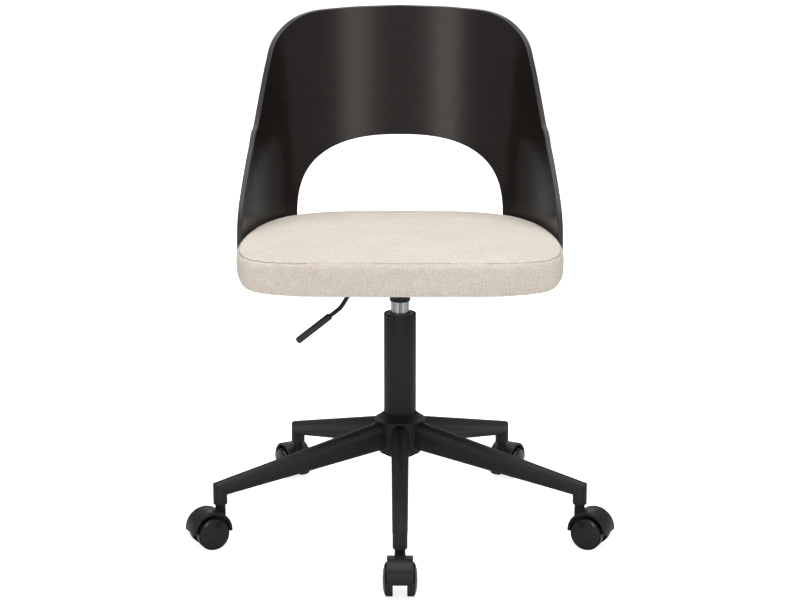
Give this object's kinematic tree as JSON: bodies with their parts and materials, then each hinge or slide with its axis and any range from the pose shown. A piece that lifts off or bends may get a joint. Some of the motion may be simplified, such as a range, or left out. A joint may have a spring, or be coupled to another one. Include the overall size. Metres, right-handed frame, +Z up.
{
  "type": "office chair",
  "caption": "Swivel office chair with a bent plywood back shell, a box cushion seat, a gas lift with a hand lever and a star base on twin-wheel casters.",
  "frame": {"origin": "centre of the bounding box in plan, at floor height", "axes": "+Z up, the sitter faces -Y, +X is the sitter's left hand"},
  "size_m": [0.6584, 0.633, 0.7887],
  "materials": {
    "frame_steel": "black powder coat, satin",
    "nylon": "black moulded nylon",
    "acetal": "light grey moulded acetal",
    "zinc": "zinc-plated steel",
    "chrome": "hard-chromed and polished",
    "bare_ply": "unfinished birch plywood",
    "black_ply": "bent plywood, black stain under satin lacquer, faint level grain",
    "linen": "oatmeal linen weave over foam, fine single seam round the top edge",
    "backing_cloth": "thin black non-woven backing"
  },
  "bodies": {
    "base": {"base_hub": "frame_steel", "hub_cover": "nylon", "base_leg_1": "frame_steel", "base_leg_2": "frame_steel", "base_leg_3": "frame_steel", "base_leg_4": "frame_steel", "base_leg_5": "frame_steel", "column_tube": "frame_steel", "guide_sleeve": "acetal", "thrust_bearing": "zinc"},
    "spindle": {"piston_rod": "chrome", "rod_clip": "zinc"},
    "seat": {"gas_cylinder": "chrome", "rod_gland": "acetal", "taper_socket": "frame_steel", "lift_housing": "frame_steel", "seat_plate": "frame_steel", "plate_screw_1": "zinc", "plate_screw_2": "zinc", "plate_screw_3": "zinc", "plate_screw_4": "zinc", "lever_pin": "zinc", "seat_board": "bare_ply", "dust_cover": "backing_cloth", "seat_cushion": "linen", "back_shell": "black_ply", "back_bolt_1": "frame_steel", "back_bolt_2": "frame_steel", "back_bolt_3": "frame_steel", "back_bolt_4": "frame_steel"},
    "lever": {"lever_rod": "frame_steel", "lever_grip": "nylon"},
    "button": {"valve_button": "zinc"},
    "caster_1": {"caster_1_hood": "nylon", "caster_1_stem": "zinc", "caster_1_axle": "zinc"},
    "wheel_1_left": {"caster_1_wheel_left": "nylon"},
    "wheel_1_right": {"caster_1_wheel_right": "nylon"},
    "caster_2": {"caster_2_hood": "nylon", "caster_2_stem": "zinc", "caster_2_axle": "zinc"},
    "wheel_2_left": {"caster_2_wheel_left": "nylon"},
    "wheel_2_right": {"caster_2_wheel_right": "nylon"},
    "caster_3": {"caster_3_hood": "nylon", "caster_3_stem": "zinc", "caster_3_axle": "zinc"},
    "wheel_3_left": {"caster_3_wheel_left": "nylon"},
    "wheel_3_right": {"caster_3_wheel_right": "nylon"},
    "caster_4": {"caster_4_hood": "nylon", "caster_4_stem": "zinc", "caster_4_axle": "zinc"},
    "wheel_4_left": {"caster_4_wheel_left": "nylon"},
    "wheel_4_right": {"caster_4_wheel_right": "nylon"},
    "caster_5": {"caster_5_hood": "nylon", "caster_5_stem": "zinc", "caster_5_axle": "zinc"},
    "wheel_5_left": {"caster_5_wheel_left": "nylon"},
    "wheel_5_right": {"caster_5_wheel_right": "nylon"}
  },
  "joints": [
    {"name": "seat_swivel", "type": "hinge", "parent": "base", "child": "spindle", "pos_m": [0, 0.0243, 0.1293], "axis": [0, 0, 1], "continuous": true},
    {"name": "seat_lift", "type": "slide", "parent": "spindle", "child": "seat", "axis": [0, 0, 1], "range_m": [0, 0.09]},
    {"name": "lever_pull", "type": "hinge", "parent": "seat", "child": "lever", "pos_m": [-0.028, 0.0243, 0.4072], "axis": [0, 1, 0], "range_deg": [0, 6.5], "stiffness_Nm_per_rad": 2, "springref_deg": -2.86},
    {"name": "valve_press", "type": "slide", "parent": "seat", "child": "button", "axis": [0, 0, -1], "range_m": [0, 0.0034]},
    {"name": "caster_1_swivel", "type": "hinge", "parent": "base", "child": "caster_1", "pos_m": [0, -0.2657, 0.0335], "axis": [0, 0, 1], "continuous": true},
    {"name": "caster_1_roll_left", "type": "hinge", "parent": "caster_1", "child": "wheel_1_left", "pos_m": [0, -0.2852, 0.025], "axis": [1, 0, 0], "continuous": true},
    {"name": "caster_1_roll_right", "type": "hinge", "parent": "caster_1", "child": "wheel_1_right", "pos_m": [0, -0.2852, 0.025], "axis": [1, 0, 0], "continuous": true},
    {"name": "caster_2_swivel", "type": "hinge", "parent": "base", "child": "caster_2", "pos_m": [0.27581, -0.06531, 0.0335], "axis": [0, 0, 1], "continuous": true},
    {"name": "caster_2_roll_left", "type": "hinge", "parent": "caster_2", "child": "wheel_2_left", "pos_m": [0.29318, -0.07417, 0.025], "axis": [0.454, 0.891, 0], "continuous": true},
    {"name": "caster_2_roll_right", "type": "hinge", "parent": "caster_2", "child": "wheel_2_right", "pos_m": [0.29318, -0.07417, 0.025], "axis": [0.454, 0.891, 0], "continuous": true},
    {"name": "caster_3_swivel", "type": "hinge", "parent": "base", "child": "caster_3", "pos_m": [0.17046, 0.25892, 0.0335], "axis": [0, 0, 1], "continuous": true},
    {"name": "caster_3_roll_left", "type": "hinge", "parent": "caster_3", "child": "wheel_3_left", "pos_m": [0.17991, 0.27597, 0.025], "axis": [-0.8746, 0.4848, 0], "continuous": true},
    {"name": "caster_3_roll_right", "type": "hinge", "parent": "caster_3", "child": "wheel_3_right", "pos_m": [0.17991, 0.27597, 0.025], "axis": [-0.8746, 0.4848, 0], "continuous": true},
    {"name": "caster_4_swivel", "type": "hinge", "parent": "base", "child": "caster_4", "pos_m": [-0.17046, 0.25892, 0.0335], "axis": [0, 0, 1], "continuous": true},
    {"name": "caster_4_roll_left", "type": "hinge", "parent": "caster_4", "child": "wheel_4_left", "pos_m": [-0.17991, 0.27597, 0.025], "axis": [-0.8746, -0.4848, 0], "continuous": true},
    {"name": "caster_4_roll_right", "type": "hinge", "parent": "caster_4", "child": "wheel_4_right", "pos_m": [-0.17991, 0.27597, 0.025], "axis": [-0.8746, -0.4848, 0], "continuous": true},
    {"name": "caster_5_swivel", "type": "hinge", "parent": "base", "child": "caster_5", "pos_m": [-0.27581, -0.06531, 0.0335], "axis": [0, 0, 1], "continuous": true},
    {"name": "caster_5_roll_left", "type": "hinge", "parent": "caster_5", "child": "wheel_5_left", "pos_m": [-0.29318, -0.07417, 0.025], "axis": [0.454, -0.891, 0], "continuous": true},
    {"name": "caster_5_roll_right", "type": "hinge", "parent": "caster_5", "child": "wheel_5_right", "pos_m": [-0.29318, -0.07417, 0.025], "axis": [0.454, -0.891, 0], "continuous": true}
  ],
  "couplings": [
    {"joint": "valve_press", "follows": "lever_pull", "m_per_rad": 0.029}
  ]
}
